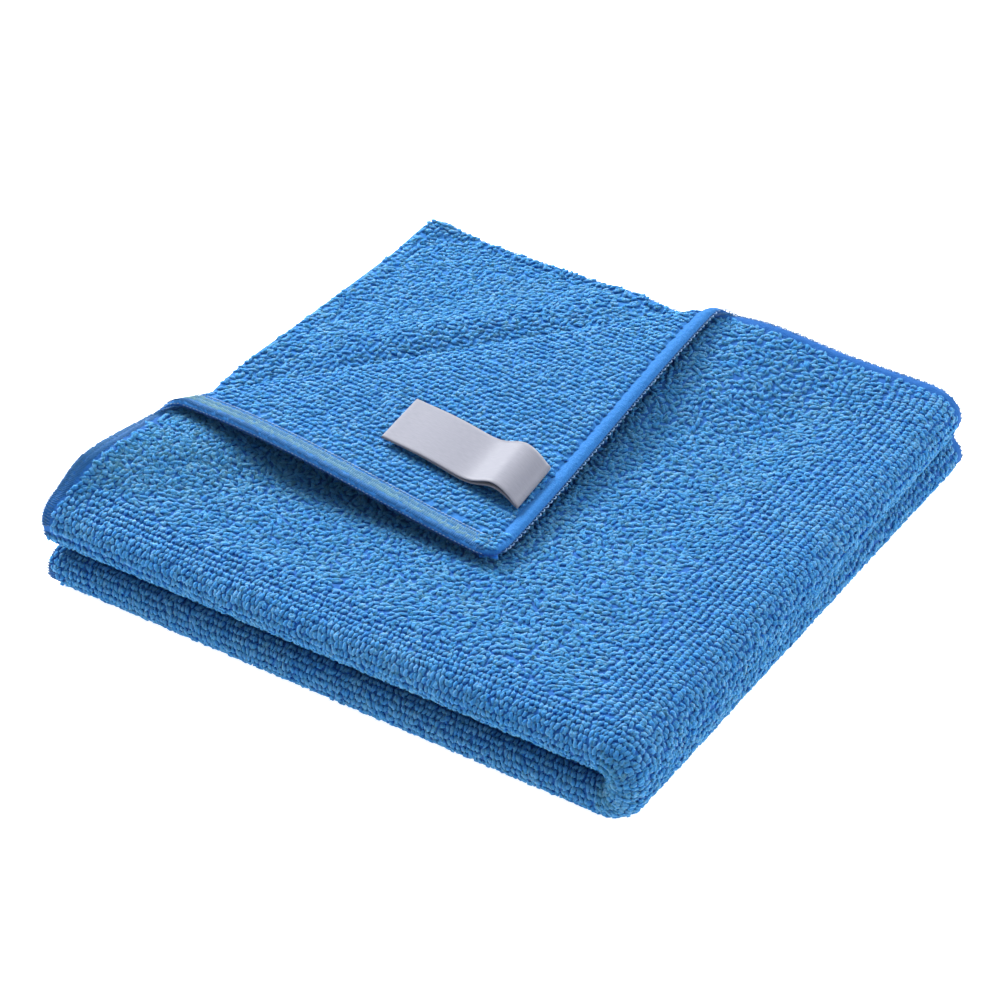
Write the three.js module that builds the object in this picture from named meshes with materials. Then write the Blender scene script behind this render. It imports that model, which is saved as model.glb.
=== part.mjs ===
// A square microfibre terry cloth, folded in quarters, with the top corner turned back over the pad.
//
// The cloth is one sheet. A point of the flat sheet is named by `across` (from one side hem to the other)
// and `along` (from one end hem to the other), both measured from the middle of the sheet. The first fold
// runs along the line along = 0 and makes a slab of two layers. The second fold bends that slab about the
// line across = 0 and makes four. The top layer's free corner is then rolled back along a slanting crest.
//
// Pad frame, mm: X from the open side to the second fold, Y from the first fold to the open end, Z up.
// The finished group is moved so that its origin is the middle of the underside of its box.
import * as THREE from 'three';

// ---- The flat cloth ----
const CLOTH_WIDTH = 300;
const CLOTH_LENGTH = 310;
const CLOTH_THICKNESS = 3;

// ---- The two folds, measured at the middle of the thickness ----
const FIRST_FOLD_RADIUS = 3.1;
const SECOND_FOLD_RADIUS = 5.3;

// ---- How the four layers settle ----
// The middle sinks by a share of its height, inside a margin that runs out past the fold and the open end.
const SUNK_MIDDLE = { share: 0.09, margin: 45, pastFold: 8, pastOpenEnd: 20 };
// Where the top layer is turned back, the second layer springs up, and the third by a share of it.
const SPRING_BACK = { lift: 4.2, thirdLayerShare: 0.5, from: -12, full: 28 };
// The outer layer is creased inwards at mid-height along the second fold, deepest at the open end.
const SIDE_CREASE = { atFold: 0.4, atOpenEnd: 3.4, deepensFrom: 20, halfHeight: 3.2, reach: 25, past: 4 };
// Towards the open end the second fold leans out at its foot, and the upper layers rise at its corner.
const FOLD_SPLAY = { out: 2.4, reach: 30, past: 4 };
const FOLD_CORNER_RISE = { lift: 1.6, sideReach: 45, endReach: 30 };
// The second layer's rims reach out past the other layers, between the roll's two ends.
const REACHING_RIMS = { side: 1.8, end: 1.4, lift: 0.7, reach: 14, sideFrom: 52, endFrom: 88, eased: 12 };

// How far each corner of the pad is pulled from a true rectangle.
const CORNER_PULLS = [
  // side: 0 open side, 1 second fold; end: 0 first fold, 1 open end
  { side: 0, end: 0, pullX: 1.2, pullY: 3.4 },
  { side: 1, end: 0, pullX: 0.8, pullY: 0.0 },
  { side: 0, end: 1, pullX: -3.6, pullY: 7.5 },
  { side: 1, end: 1, pullX: -0.8, pullY: -0.4 },
];

// ---- The turned-back corner ----
// The crest crosses the side hem and the end hem. `flat` is where it crosses them on the flat top layer,
// `x`, `y` and `height` are where the crest of the roll ends up.
const CREST_AT_SIDE_HEM = { flat: 60, x: 7.0, y: 44.0, height: 27.5 };
const CREST_AT_END_HEM = { flat: 90, x: 87.0, y: 144.6, height: 27.6 };
const CORNER_TIP = { x: 94.0, y: 38.6, height: 20.6 };
const ROLL_RADIUS = 2.7;
const ROLL_RADIUS_AT_HEMS = 2.05;
const ROLL_HEM_SHARE = 0.13;
const ROLL_APPROACH = 38;
const ROLL_HELD_SHARES = { low: -0.15, high: 1.1 };
const CORNER_FURTHEST_REACH = 1.2;
const SIDE_HEM_BRIM = { lift: 5.8, from: -9, full: 20 };
const END_HEM_BRIM = { lift: 5.0, from: 38, full: 4 };
const BRIM_REACH = { wide: 16, narrow: 8, narrowing: 30 };
const BRIM_FADE = 22;
const FRONT_HEM_ARCH = { lift: 1.3, reach: 12 };

// ---- The label: a satin ribbon folded double, its two ends caught in the hem ----
const LABEL_WIDTH = 15.7;
const LABEL_LENGTH = 36.3;
const LABEL_PLY = 1.0;
const LABEL_PLY_GAP = 0.5;
const LABEL_CLEARANCE = 0.35;
const LABEL_SEWN_END = { x: 88.8, y: 62.0 };
const LABEL_HEADING = 177;
const LABEL_END_HEADING = 95;
const LABEL_WAVE = { height: 1.7, middle: 9, reach: 6.5 };

// ---- Fineness of the mesh, mm of cloth ----
const CREST_CELLS = 23;
const CELLS_BEFORE_ROLL_ACROSS = 6;
const CELLS_BEFORE_ROLL_ALONG = 8;
const FLAT_STEP = 16;
const FOLD_STEPS = 6;
const LABEL_STEPS = 14;
const LABEL_FOLD_STEPS = 5;
const LABEL_STEPS_ACROSS = 4;

// ---- Sizes that follow ----
const HALF_TURN = Math.PI;
const HALF_WIDTH = CLOTH_WIDTH / 2;
const HALF_LENGTH = CLOTH_LENGTH / 2;
const HALF_THICKNESS = CLOTH_THICKNESS / 2;
const MID_HEIGHT = HALF_THICKNESS + FIRST_FOLD_RADIUS + SECOND_FOLD_RADIUS;
const FIRST_FOLD_ARC = HALF_TURN * FIRST_FOLD_RADIUS / 2;
const SECOND_FOLD_ARC = HALF_TURN * SECOND_FOLD_RADIUS / 2;
const FLAT_X = HALF_WIDTH - SECOND_FOLD_ARC;
const FLAT_Y = FIRST_FOLD_RADIUS + HALF_LENGTH - FIRST_FOLD_ARC;
const PAD_X = FLAT_X + SECOND_FOLD_RADIUS + FIRST_FOLD_RADIUS;
const ROLL_ARC = HALF_TURN * ROLL_RADIUS;

/** Rises from 0 at `start` to 1 at `end` with level ends. */
function ease(start, end, value) {
  const share = Math.min(Math.max((value - start) / (end - start), 0), 1);
  return share * share * (3 - 2 * share);
}

/** A line on the top layer, with the unit vectors along it and across it towards the open corner. */
function crestLine(ax, ay, bx, by) {
  const length = Math.hypot(bx - ax, by - ay);
  const alongX = (bx - ax) / length;
  const alongY = (by - ay) / length;
  return { x: ax, y: ay, length, alongX, alongY, acrossX: -alongY, acrossY: alongX };
}

function shareAlong(line, x, y) {
  return ((x - line.x) * line.alongX + (y - line.y) * line.alongY) / line.length;
}

function distanceBeyond(line, x, y) {
  return (x - line.x) * line.acrossX + (y - line.y) * line.acrossY;
}

function pointOn(line, share, beyond) {
  return {
    x: line.x + share * line.length * line.alongX + beyond * line.acrossX,
    y: line.y + share * line.length * line.alongY + beyond * line.acrossY,
  };
}

const flatCrest = crestLine(0, CREST_AT_SIDE_HEM.flat, CREST_AT_END_HEM.flat, FLAT_Y);
const crest = crestLine(CREST_AT_SIDE_HEM.x, CREST_AT_SIDE_HEM.y, CREST_AT_END_HEM.x, CREST_AT_END_HEM.y);
const cornerShare = shareAlong(flatCrest, 0, FLAT_Y);
const cornerBeyond = distanceBeyond(flatCrest, 0, FLAT_Y);
const cornerFoot = pointOn(crest, cornerShare, 0);
const flapX = CORNER_TIP.x - cornerFoot.x;
const flapY = CORNER_TIP.y - cornerFoot.y;
const flapReach = Math.hypot(flapX, flapY);

/** The two folds, with no settling: the slab's two layers and their bend about the second fold. */
function quarterFolded(across, along) {
  const turn = THREE.MathUtils.clamp(along / FIRST_FOLD_RADIUS, -HALF_TURN / 2, HALF_TURN / 2);
  const outside = Math.sin(turn);
  const layer = FIRST_FOLD_RADIUS * outside;
  const straight = Math.max(Math.abs(along) - FIRST_FOLD_ARC, 0);
  const bend = THREE.MathUtils.clamp(across / SECOND_FOLD_RADIUS, -HALF_TURN / 2, HALF_TURN / 2);
  const beyondBend = Math.max(Math.abs(across) - SECOND_FOLD_ARC, 0);
  return {
    x: FLAT_X + (SECOND_FOLD_RADIUS + layer) * Math.cos(bend) - beyondBend,
    y: FIRST_FOLD_RADIUS * (1 - Math.cos(turn)) + straight,
    z: MID_HEIGHT - (SECOND_FOLD_RADIUS + layer) * Math.sin(bend),
    outside,
  };
}

/** The pad's own unevenness: a sunk middle, layers that spring up, a crease down the side, pulled corners. */
function settled(point, springShare) {
  const { x, y, z } = point;
  const { margin } = SUNK_MIDDLE;
  const inside = ease(0, margin, x) * ease(0, margin, y)
    * ease(0, margin, FLAT_X + SUNK_MIDDLE.pastFold - x)
    * ease(0, margin, FLAT_Y + SUNK_MIDDLE.pastOpenEnd - y);
  let height = HALF_THICKNESS + (z - HALF_THICKNESS) * (1 - SUNK_MIDDLE.share * inside);
  const uncovered = ease(SPRING_BACK.from, SPRING_BACK.full, distanceBeyond(crest, x, y));
  height += SPRING_BACK.lift * springShare * uncovered;

  const deepened = ease(SIDE_CREASE.deepensFrom, FLAT_Y, y);
  const creaseDepth = THREE.MathUtils.lerp(SIDE_CREASE.atFold, SIDE_CREASE.atOpenEnd, deepened);
  const dent = Math.exp(-(((height - MID_HEIGHT) / SIDE_CREASE.halfHeight) ** 2));
  const creaseShare = THREE.MathUtils.lerp(1, dent, (1 + point.outside) / 2)
    * ease(FLAT_X - SIDE_CREASE.reach, FLAT_X + SIDE_CREASE.past, x);

  const foot = ease(MID_HEIGHT, 0, height) * ease(FLAT_X - FOLD_SPLAY.reach, FLAT_X + FOLD_SPLAY.past, x);
  const atFoldCorner = ease(FLAT_X - FOLD_CORNER_RISE.sideReach, FLAT_X, x)
    * ease(FLAT_Y - FOLD_CORNER_RISE.endReach, FLAT_Y, y);
  const rise = FOLD_CORNER_RISE.lift * atFoldCorner * ease(MID_HEIGHT, 2 * MID_HEIGHT - HALF_THICKNESS, height);

  let pulledX = x - creaseDepth * creaseShare + (FOLD_SPLAY.out * foot * y) / FLAT_Y;
  let pulledY = y;
  for (const corner of CORNER_PULLS) {
    const shareX = corner.side ? x / PAD_X : 1 - x / PAD_X;
    const shareY = corner.end ? y / FLAT_Y : 1 - y / FLAT_Y;
    pulledX += corner.pullX * shareX * shareY;
    pulledY += corner.pullY * shareX * shareY;
  }
  return { x: pulledX, y: pulledY, z: height + rise };
}

/** How the second layer's rims reach out where the turned-back corner leaves them open. */
function reachingRims(flat) {
  const { reach, eased } = REACHING_RIMS;
  const side = Math.exp(-flat.x / reach)
    * ease(REACHING_RIMS.sideFrom, REACHING_RIMS.sideFrom + eased, flat.y)
    * ease(0, eased, FLAT_Y - flat.y);
  const end = Math.exp(-(FLAT_Y - flat.y) / reach)
    * ease(REACHING_RIMS.endFrom, REACHING_RIMS.endFrom - eased, flat.x)
    * ease(0, eased, flat.x);
  return {
    x: -REACHING_RIMS.side * side,
    y: REACHING_RIMS.end * end,
    z: REACHING_RIMS.lift * (side + end),
  };
}

/** The height of the top of the roll, at the middle of the thickness. */
function crestHeight(share) {
  return THREE.MathUtils.lerp(CREST_AT_SIDE_HEM.height, CREST_AT_END_HEM.height,
    THREE.MathUtils.clamp(share, 0, 1));
}

/** The roll's radius, tighter where the crest crosses a hem. */
function rollRadius(share) {
  const fromHem = Math.max(Math.min(share, 1 - share), 0) / ROLL_HEM_SHARE;
  return ROLL_RADIUS + (ROLL_RADIUS_AT_HEMS - ROLL_RADIUS) * Math.exp(-fromHem * fromHem);
}

/**
 * How far both hems stand up as a brim beside the roll. The brim is wide where it starts and narrow at
 * the roll, and it fades out through the roll itself.
 */
function brimLift(flat, beyond) {
  const nearRoll = ease(-BRIM_REACH.narrowing, 0, beyond + ROLL_ARC);
  const reach = BRIM_REACH.wide + (BRIM_REACH.narrow - BRIM_REACH.wide) * nearRoll;
  const alongSide = ease(SIDE_HEM_BRIM.from, SIDE_HEM_BRIM.full, flat.y);
  const sideBrim = SIDE_HEM_BRIM.lift * alongSide * Math.exp(-flat.x / reach);
  const alongEnd = ease(END_HEM_BRIM.from, END_HEM_BRIM.full, flat.x - CREST_AT_END_HEM.flat);
  const endBrim = END_HEM_BRIM.lift * alongEnd * Math.exp(-(FLAT_Y - flat.y) / reach);
  return (sideBrim + endBrim) * (1 - ease(-ROLL_ARC - BRIM_FADE, 0, beyond));
}

/** The top layer before the roll: it leaves the pad and climbs under the crest, higher at both hems. */
function beforeRoll(flat, rest, share, beyond) {
  const climb = 1 - ease(0, ROLL_APPROACH, -(beyond + ROLL_ARC));
  const held = THREE.MathUtils.clamp(share, ROLL_HELD_SHARES.low, ROLL_HELD_SHARES.high);
  const from = pointOn(flatCrest, held, -ROLL_ARC);
  const to = pointOn(crest, held, 0);
  const underCrest = crestHeight(share) - 2 * rollRadius(share);
  return {
    x: rest.x + climb * (flat.x + to.x - from.x - rest.x),
    y: rest.y + climb * (flat.y + to.y - from.y - rest.y),
    z: rest.z + climb * (underCrest - rest.z) + brimLift(flat, beyond),
  };
}

/** The roll itself, a half turn about the crest that swings round towards the turned-back corner. */
function onRoll(flat, share, beyond) {
  const turned = (beyond + ROLL_ARC) / ROLL_ARC;
  const angle = turned * HALF_TURN - HALF_TURN / 2;
  const headingX = (1 - turned) * crest.acrossX - turned * flapX / flapReach;
  const headingY = (1 - turned) * crest.acrossY - turned * flapY / flapReach;
  const radius = rollRadius(share);
  const out = radius * Math.cos(angle) / Math.hypot(headingX, headingY);
  const start = pointOn(crest, share, 0);
  return {
    x: start.x + out * headingX,
    y: start.y + out * headingY,
    z: crestHeight(share) - radius + radius * Math.sin(angle) + brimLift(flat, beyond),
  };
}

/** The turned-back corner, from the crest down to its tip, which lies on the pad. */
function onCorner(flat, share, beyond) {
  const reached = Math.min(beyond / cornerBeyond, CORNER_FURTHEST_REACH);
  const start = pointOn(crest, share, 0);
  const drop = (crestHeight(share) - CORNER_TIP.height) * (1 - ease(0, 1, reached));
  const arch = FRONT_HEM_ARCH.lift * Math.exp(-flat.x / FRONT_HEM_ARCH.reach)
    * Math.sin(HALF_TURN * Math.min(reached, 1));
  return {
    x: start.x + reached * flapX,
    y: start.y + reached * flapY,
    z: CORNER_TIP.height + drop + arch,
  };
}

/** Where a point of the flat sheet lies in the folded cloth, at the middle of its thickness. */
function foldedPoint(across, along) {
  const flat = quarterFolded(across, along);
  const outerLayer = along > 0;
  const upperSlab = across < 0;
  const innerShare = upperSlab ? 1 : SPRING_BACK.thirdLayerShare;
  const springShare = outerLayer ? 0 : innerShare;
  const rest = settled(flat, springShare);
  let place = rest;
  if (outerLayer && upperSlab) {
    const share = shareAlong(flatCrest, flat.x, flat.y);
    const beyond = distanceBeyond(flatCrest, flat.x, flat.y);
    if (beyond > 0) {
      place = onCorner(flat, share, beyond);
    } else if (beyond > -ROLL_ARC) {
      place = onRoll(flat, share, beyond);
    } else {
      place = beforeRoll(flat, rest, share, beyond);
    }
  } else if (upperSlab) {
    const rims = reachingRims(flat);
    place = { x: rest.x + rims.x, y: rest.y + rims.y, z: rest.z + rims.z };
  }
  return new THREE.Vector3(place.x, place.y, place.z);
}

/** The unit normal of a surface given as a function of two lengths. */
function normalOf(surface, u, v) {
  const probe = 0.02;
  const alongU = surface(u + probe, v).sub(surface(u - probe, v));
  const alongV = surface(u, v + probe).sub(surface(u, v - probe));
  return alongU.cross(alongV).normalize();
}

/** Evenly spaced values after `start` up to and including `end`, no further apart than `step`. */
function spaced(start, end, step) {
  const count = Math.max(1, Math.round(Math.abs(end - start) / step));
  return Array.from({ length: count }, (_, i) => start + (end - start) * (i + 1) / count);
}

/** Grid lines from one hem to the other: `cells` fine ones first, then coarse, with the fold in steps. */
function gridLines(half, foldArc, cell, cells) {
  const fineEnd = cell * cells - half;
  return [
    -half,
    ...spaced(-half, fineEnd, cell),
    ...spaced(fineEnd, -foldArc, FLAT_STEP),
    ...spaced(-foldArc, foldArc, 2 * foldArc / FOLD_STEPS),
    ...spaced(foldArc, half, FLAT_STEP),
  ];
}

/** A closed shell between two offsets of one surface, over a grid of u and v lines. */
function closedSheet(surface, uLines, vLines, thickness) {
  const rows = uLines.length;
  const columns = vLines.length;
  const positions = [];
  for (const side of [0.5, -0.5]) {
    for (const u of uLines) {
      for (const v of vLines) {
        const normal = normalOf(surface, u, v);
        const point = surface(u, v).addScaledVector(normal, side * thickness);
        positions.push(point.x, point.y, point.z);
      }
    }
  }
  const at = (face, i, j) => face * rows * columns + i * columns + j;
  const triangles = [];
  const quad = (a, b, c, d) => triangles.push(a, b, c, a, c, d);
  for (let i = 0; i < rows - 1; i += 1) {
    for (let j = 0; j < columns - 1; j += 1) {
      quad(at(0, i, j), at(0, i + 1, j), at(0, i + 1, j + 1), at(0, i, j + 1));
      triangles.push(at(1, i, j), at(1, i + 1, j + 1), at(1, i + 1, j));
      triangles.push(at(1, i, j), at(1, i, j + 1), at(1, i + 1, j + 1));
    }
  }
  for (let i = 0; i < rows - 1; i += 1) {
    quad(at(0, i + 1, 0), at(0, i, 0), at(1, i, 0), at(1, i + 1, 0));
    quad(at(0, i, columns - 1), at(0, i + 1, columns - 1), at(1, i + 1, columns - 1), at(1, i, columns - 1));
  }
  for (let j = 0; j < columns - 1; j += 1) {
    quad(at(0, 0, j), at(0, 0, j + 1), at(1, 0, j + 1), at(1, 0, j));
    quad(at(0, rows - 1, j + 1), at(0, rows - 1, j), at(1, rows - 1, j), at(1, rows - 1, j + 1));
  }
  const geometry = new THREE.BufferGeometry();
  geometry.setAttribute('position', new THREE.Float32BufferAttribute(positions, 3));
  geometry.setIndex(triangles);
  geometry.computeVertexNormals();
  return geometry;
}

/** The cells' diagonals run along the crest, so that the roll is made of long straight facets. */
function buildCloth() {
  const cellAcross = CREST_AT_END_HEM.flat / CREST_CELLS;
  const cellAlong = (FLAT_Y - CREST_AT_SIDE_HEM.flat) / CREST_CELLS;
  const cellsAcross = CREST_CELLS + CELLS_BEFORE_ROLL_ACROSS;
  const cellsAlong = CREST_CELLS + CELLS_BEFORE_ROLL_ALONG;
  const acrossLines = gridLines(HALF_WIDTH, SECOND_FOLD_ARC, cellAcross, cellsAcross);
  const alongLines = gridLines(HALF_LENGTH, FIRST_FOLD_ARC, cellAlong, cellsAlong)
    .map((value) => -value)
    .reverse();
  const geometry = closedSheet(foldedPoint, acrossLines, alongLines, CLOTH_THICKNESS);
  const material = new THREE.MeshStandardMaterial({ color: 0x2f7fd6, roughness: 0.9, metalness: 0 });
  const cloth = new THREE.Mesh(geometry, material);
  cloth.name = 'cloth';
  return cloth;
}

/** The face of the turned-back corner at a place of the pad, found by undoing the corner's own mapping. */
function cornerFace(x, y) {
  const run = crest.alongX * flapY - crest.alongY * flapX;
  const offX = x - crest.x;
  const offY = y - crest.y;
  const share = (offX * flapY - offY * flapX) / run / crest.length;
  const reached = (crest.alongX * offY - crest.alongY * offX) / run;
  const flat = pointOn(flatCrest, share, reached * cornerBeyond);
  const beyond = reached * cornerBeyond;
  return onCorner(flat, share, beyond).z + HALF_THICKNESS;
}

/** The label's section: out along the lower ply, round the free end and back along the upper ply. */
function buildLabel() {
  const heading = THREE.MathUtils.degToRad(LABEL_HEADING);
  const outX = Math.cos(heading);
  const outY = Math.sin(heading);
  const endHeading = THREE.MathUtils.degToRad(LABEL_END_HEADING);
  const sideX = -Math.cos(endHeading);
  const sideY = -Math.sin(endHeading);
  const foldRadius = (LABEL_PLY + LABEL_PLY_GAP) / 2;
  const straight = LABEL_LENGTH - foldRadius - LABEL_PLY / 2;
  const foldArc = HALF_TURN * foldRadius;
  const lift = LABEL_CLEARANCE + LABEL_PLY / 2 + foldRadius;

  const ribbon = (run, side) => {
    let out = run;
    let height = -foldRadius;
    if (run > straight + foldArc) {
      out = 2 * straight + foldArc - run;
      height = foldRadius;
    } else if (run > straight) {
      const turn = (run - straight) / foldRadius - HALF_TURN / 2;
      out = straight + foldRadius * Math.cos(turn);
      height = foldRadius * Math.sin(turn);
    }
    const x = LABEL_SEWN_END.x + out * outX + side * sideX;
    const y = LABEL_SEWN_END.y + out * outY + side * sideY;
    const wave = LABEL_WAVE.height * Math.exp(-(((out - LABEL_WAVE.middle) / LABEL_WAVE.reach) ** 2));
    return new THREE.Vector3(x, y, cornerFace(x, y) + lift + height + wave);
  };

  const runs = [
    0,
    ...spaced(0, straight, straight / LABEL_STEPS),
    ...spaced(straight, straight + foldArc, foldArc / LABEL_FOLD_STEPS),
    ...spaced(straight + foldArc, 2 * straight + foldArc, straight / LABEL_STEPS),
  ];
  const halfWidth = LABEL_WIDTH / 2;
  const sides = [-halfWidth, ...spaced(-halfWidth, halfWidth, LABEL_WIDTH / LABEL_STEPS_ACROSS)];
  const geometry = closedSheet(ribbon, runs, sides, LABEL_PLY);
  const material = new THREE.MeshStandardMaterial({ color: 0xe9eaf6, roughness: 0.45, metalness: 0 });
  const label = new THREE.Mesh(geometry, material);
  label.name = 'label';
  return label;
}

const pad = new THREE.Group();
pad.add(buildCloth(), buildLabel());
const box = new THREE.Box3().setFromObject(pad);
const middle = box.getCenter(new THREE.Vector3());
pad.position.set(-middle.x, -middle.y, -box.min.z);

export default pad;
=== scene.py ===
"""A blue microfibre terry cloth, folded in quarters, with its top corner turned back over the pad.

The ground is one thin closed sheet on the folds of the frame's cloth. The pile is short loops on every
face that can be seen, the hem is an overlock of fine threads, and the label is a satin ribbon.
Lengths are in millimetres up to the point where a mesh is made, and in metres from there on.
"""
import math
from typing import NamedTuple

import bpy
import numpy as np
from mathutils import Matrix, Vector


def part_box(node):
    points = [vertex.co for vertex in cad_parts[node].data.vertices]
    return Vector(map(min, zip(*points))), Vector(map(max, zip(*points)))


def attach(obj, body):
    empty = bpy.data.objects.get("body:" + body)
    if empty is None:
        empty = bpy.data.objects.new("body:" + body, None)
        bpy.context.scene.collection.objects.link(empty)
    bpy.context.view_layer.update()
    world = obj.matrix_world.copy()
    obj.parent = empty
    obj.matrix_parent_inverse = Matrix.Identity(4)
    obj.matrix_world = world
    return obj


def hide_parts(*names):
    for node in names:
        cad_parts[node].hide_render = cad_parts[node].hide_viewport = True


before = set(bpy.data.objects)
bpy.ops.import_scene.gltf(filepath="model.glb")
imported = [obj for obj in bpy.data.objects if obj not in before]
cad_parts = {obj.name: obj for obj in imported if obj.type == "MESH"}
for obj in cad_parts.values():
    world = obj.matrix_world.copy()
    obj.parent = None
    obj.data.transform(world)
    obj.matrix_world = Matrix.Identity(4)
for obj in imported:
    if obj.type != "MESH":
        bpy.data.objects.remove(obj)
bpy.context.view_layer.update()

MM = 0.001

# ---- The flat cloth and its two folds, at the middle of the thickness, as the frame has them ----
CLOTH_WIDTH, CLOTH_LENGTH = 300.0, 310.0
SOLID_THICKNESS = 3.0
FIRST_FOLD_RADIUS, SECOND_FOLD_RADIUS = 3.1, 5.3
SUNK_SHARE, SUNK_MARGIN, SUNK_PAST_FOLD, SUNK_PAST_OPEN_END = 0.09, 45.0, 8.0, 20.0
SPRING_LIFT, SPRING_THIRD_LAYER, SPRING_FROM, SPRING_FULL = 4.2, 0.5, -12.0, 28.0
CREASE_AT_FOLD, CREASE_AT_OPEN_END, CREASE_DEEPENS_FROM = 0.4, 3.4, 20.0
CREASE_HALF_HEIGHT, CREASE_REACH, CREASE_PAST = 3.2, 25.0, 4.0
# Towards the open end the second fold leans out at its foot, and the upper layers rise at its corner.
SPLAY_OUT, SPLAY_REACH, SPLAY_PAST = 2.4, 30.0, 4.0
RISE_LIFT, RISE_SIDE_REACH, RISE_END_REACH = 1.6, 45.0, 30.0
# The second layer's rims reach out past the other layers, between the roll's two ends.
RIMS_SIDE, RIMS_END, RIMS_LIFT, RIMS_REACH = 1.8, 1.4, 0.7, 14.0
RIMS_SIDE_FROM, RIMS_END_FROM, RIMS_EASED = 52.0, 88.0, 12.0
# side: 0 open side, 1 second fold; end: 0 first fold, 1 open end; then the pull in x and y
CORNER_PULLS = ((0, 0, 1.2, 3.4), (1, 0, 0.8, 0.0), (0, 1, -3.6, 7.5), (1, 1, -0.8, -0.4))

# ---- The turned-back corner ----
CREST_FLAT_SIDE, CREST_FLAT_END = 60.0, 90.0
CREST_SIDE, CREST_SIDE_HEIGHT = (7.0, 44.0), 27.5
CREST_END, CREST_END_HEIGHT = (87.0, 144.6), 27.6
CORNER_TIP, CORNER_TIP_HEIGHT = (94.0, 38.6), 20.6
ROLL_RADIUS, ROLL_RADIUS_AT_HEMS, ROLL_APPROACH = 2.7, 2.05, 38.0
ROLL_HEM_SHARE = 0.13
ROLL_HELD_LOW, ROLL_HELD_HIGH = -0.15, 1.1
CORNER_FURTHEST_REACH = 1.2
# Both hems stand up as a brim beside the roll, wide where it starts and narrow at the roll.
SIDE_BRIM_LIFT, SIDE_BRIM_FROM, SIDE_BRIM_FULL = 5.8, -9.0, 20.0
END_BRIM_LIFT, END_BRIM_FROM, END_BRIM_FULL = 5.0, 38.0, 4.0
BRIM_REACH_WIDE, BRIM_REACH_NARROW, BRIM_NARROWS, BRIM_FADE = 16.0, 8.0, 30.0, 22.0
ARCH_LIFT, ARCH_REACH = 1.3, 12.0

# ---- What the frame's solid leaves out ----
GROUND_THICKNESS = 1.3
# The side hems are flat bands; the end hems are rolled, with a groove where the roll is sewn down.
SIDE_HEM_WIDTH, SIDE_HEM_THICKNESS = 4.4, 1.7
END_HEM_WIDTH, END_HEM_THICKNESS = 3.3, 2.0
SIDE_HEM_EASE_OUT, SIDE_HEM_EASE_IN = 0.5, 0.2
GROOVE_DEPTH, GROOVE_HALF_WIDTH, GROOVE_OFF_HEM = 0.35, 0.35, 0.2
HEM_RIM, HEM_RIM_LEAST = 0.9, 0.25
HEM_CORNER_RADIUS, HEM_CORNER_SHARE = 6.0, 0.85
CORNER_CURL_LIFT, CORNER_CURL_REACH = 4.0, 8.0
# Where the creases fade in: past the roll on the top layer, and about the crest on the second layer
CREASES_PAST_ROLL, CREASES_BEFORE_CREST, CREASES_PAST_CREST = 12.0, 8.0, 6.0
# Soft ridges and troughs: on the second layer or not, x, y, heading, half length, half width, height
CREASES = (
    (True, 30.0, 122.0, 52.0, 42.0, 7.0, 1.5),
    (True, 44.0, 112.0, 50.0, 36.0, 6.0, -0.9),
    (True, 18.0, 95.0, 60.0, 24.0, 6.0, 0.8),
    (True, 66.0, 146.0, 30.0, 18.0, 5.0, 0.7),
    (False, 118.0, 92.0, 96.0, 40.0, 7.0, -0.7),
    (False, 100.0, 120.0, 60.0, 22.0, 8.0, 0.8),
    (False, 60.0, 22.0, 8.0, 34.0, 6.0, -0.5),
    (False, 112.0, 40.0, 40.0, 20.0, 9.0, 0.6),
    (False, 36.0, 14.0, -14.0, 22.0, 5.0, 0.5),
)

# ---- Sizes that follow ----
HALF_TURN, QUARTER_TURN = math.pi, math.pi / 2
HALF_WIDTH, HALF_LENGTH = CLOTH_WIDTH / 2, CLOTH_LENGTH / 2
HALF_SOLID = SOLID_THICKNESS / 2
MID_HEIGHT = HALF_SOLID + FIRST_FOLD_RADIUS + SECOND_FOLD_RADIUS
FIRST_FOLD_ARC = QUARTER_TURN * FIRST_FOLD_RADIUS
SECOND_FOLD_ARC = QUARTER_TURN * SECOND_FOLD_RADIUS
FLAT_X = HALF_WIDTH - SECOND_FOLD_ARC
FLAT_Y = FIRST_FOLD_RADIUS + HALF_LENGTH - FIRST_FOLD_ARC
PAD_X = FLAT_X + SECOND_FOLD_RADIUS + FIRST_FOLD_RADIUS
ROLL_ARC = HALF_TURN * ROLL_RADIUS


def ease(start, end, value):
    """Rises from 0 at start to 1 at end with level ends."""
    share = np.clip((value - start) / (end - start), 0, 1)
    return share * share * (3 - 2 * share)


def blend(a, b, share):
    return a + (b - a) * share


class CrestLine:
    """A line on the top layer, with its unit vectors along it and across it towards the open corner."""

    def __init__(self, start, end):
        self.start = np.array(start, float)
        run = np.array(end, float) - self.start
        self.length = np.hypot(*run)
        self.along = run / self.length
        self.across = np.array([-self.along[1], self.along[0]])

    def share(self, x, y):
        return ((x - self.start[0]) * self.along[0] + (y - self.start[1]) * self.along[1]) / self.length

    def beyond(self, x, y):
        return (x - self.start[0]) * self.across[0] + (y - self.start[1]) * self.across[1]

    def point(self, share, beyond):
        x = self.start[0] + share * self.length * self.along[0] + beyond * self.across[0]
        y = self.start[1] + share * self.length * self.along[1] + beyond * self.across[1]
        return x, y


FLAT_CREST = CrestLine((0, CREST_FLAT_SIDE), (CREST_FLAT_END, FLAT_Y))
CREST = CrestLine(CREST_SIDE, CREST_END)
CORNER_SHARE = FLAT_CREST.share(0, FLAT_Y)
CORNER_BEYOND = FLAT_CREST.beyond(0, FLAT_Y)
CORNER_FLAP = np.array(CORNER_TIP) - np.array(CREST.point(CORNER_SHARE, 0))


def at_hems(share):
    """1 where the crest crosses a hem and outside it, falling to 0 between the hems."""
    off = np.clip(np.minimum(share, 1 - share), 0, None)
    return np.exp(-(off / ROLL_HEM_SHARE) ** 2)


def crest_height(share):
    return blend(CREST_SIDE_HEIGHT, CREST_END_HEIGHT, np.clip(share, 0, 1))


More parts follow.
